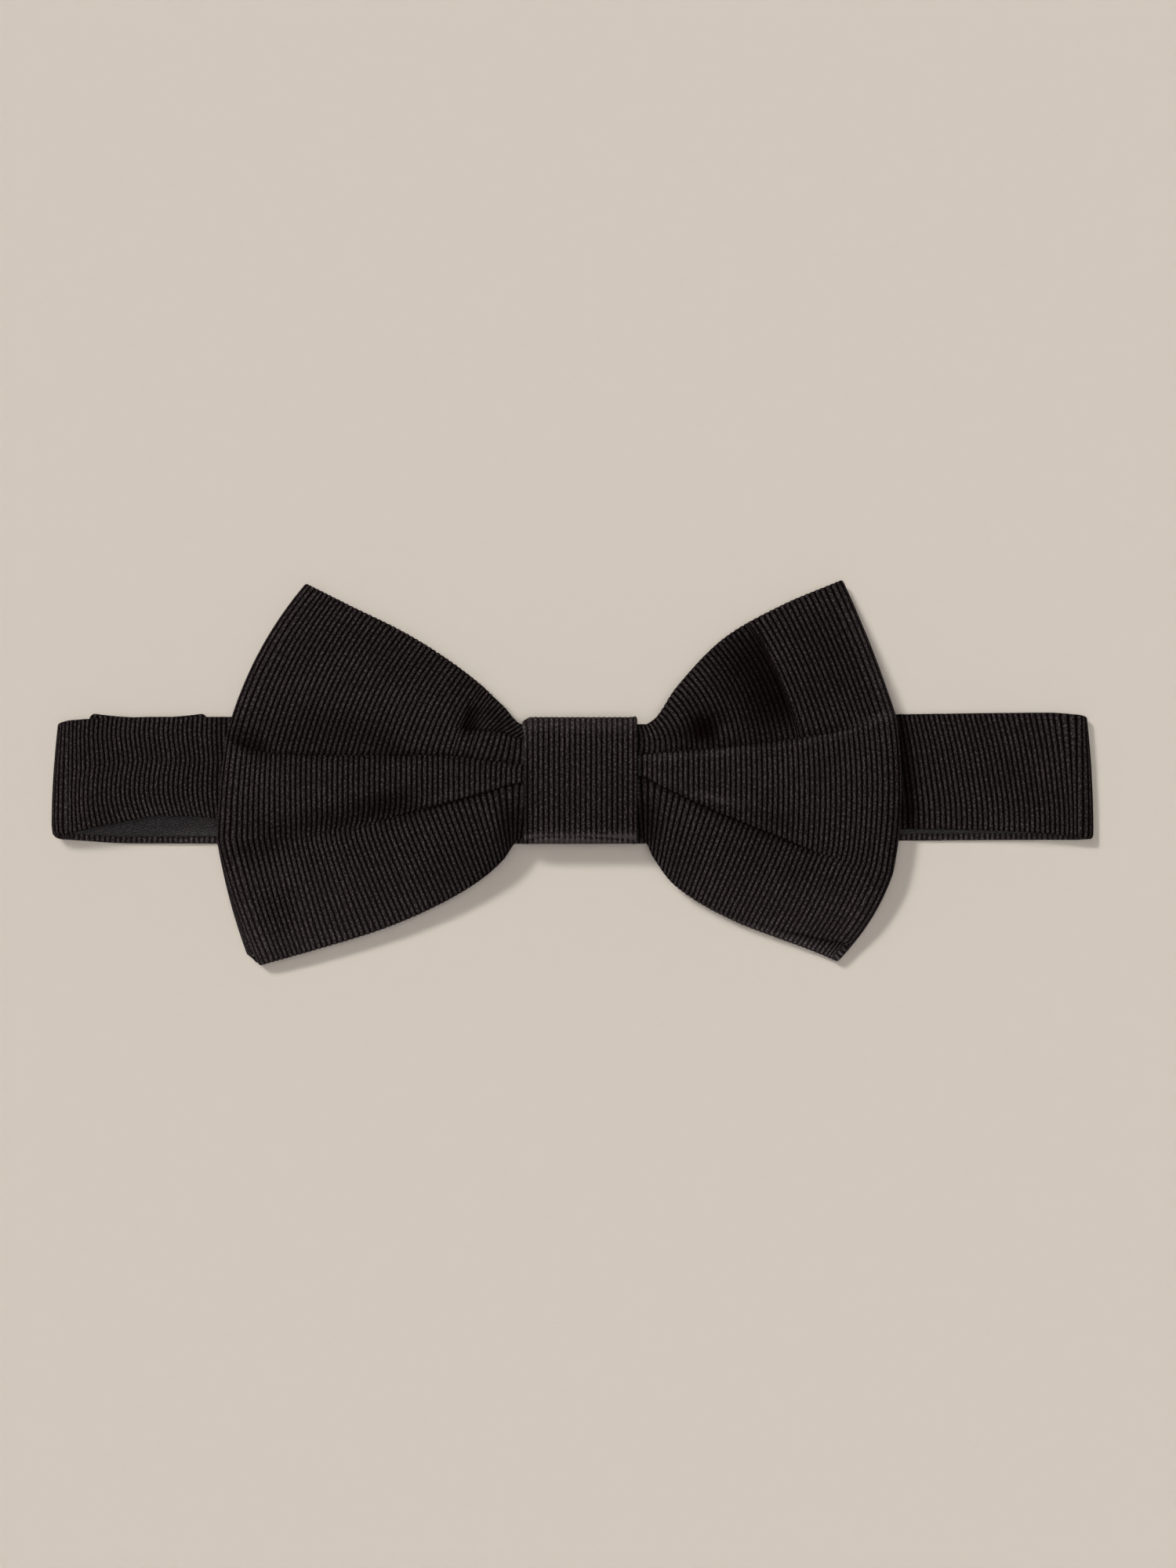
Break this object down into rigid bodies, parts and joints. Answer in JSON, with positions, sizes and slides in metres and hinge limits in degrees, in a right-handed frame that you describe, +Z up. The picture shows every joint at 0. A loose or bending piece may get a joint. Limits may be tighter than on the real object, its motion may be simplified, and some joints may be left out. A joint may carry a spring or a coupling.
{
  "type": "pre-tied bow tie with neckband",
  "caption": "Pre-tied bow tie of ribbed black cloth, lying folded flat: two pleated wings, a knot wrap and a whole lined neckband.",
  "frame": {"origin": "on the surface that the tie lies on, under the middle of the knot", "axes": "+X along the neckband to the right of the face, +Y to the upper hems, +Z up, out of the face of the bow"},
  "size_m": [0.1843, 0.0684, 0.0131],
  "materials": {
    "ribbed_cloth": "near-black corded cloth with a faint warm cast, ribs 0.93 mm apart, low sheen",
    "twill_lining": "black twill with fine slanting lines, a little smoother than the ribbed cloth",
    "clasp_metal": "plain dull metal plate, hidden inside the neckband"
  },
  "bodies": {
    "root": {"left_wing": "ribbed_cloth", "right_wing": "ribbed_cloth", "knot_wrap": "ribbed_cloth", "neckband": "ribbed_cloth", "strap_end": "ribbed_cloth", "band_lining": "twill_lining", "neck_clasp": "clasp_metal"}
  },
  "joints": []
}
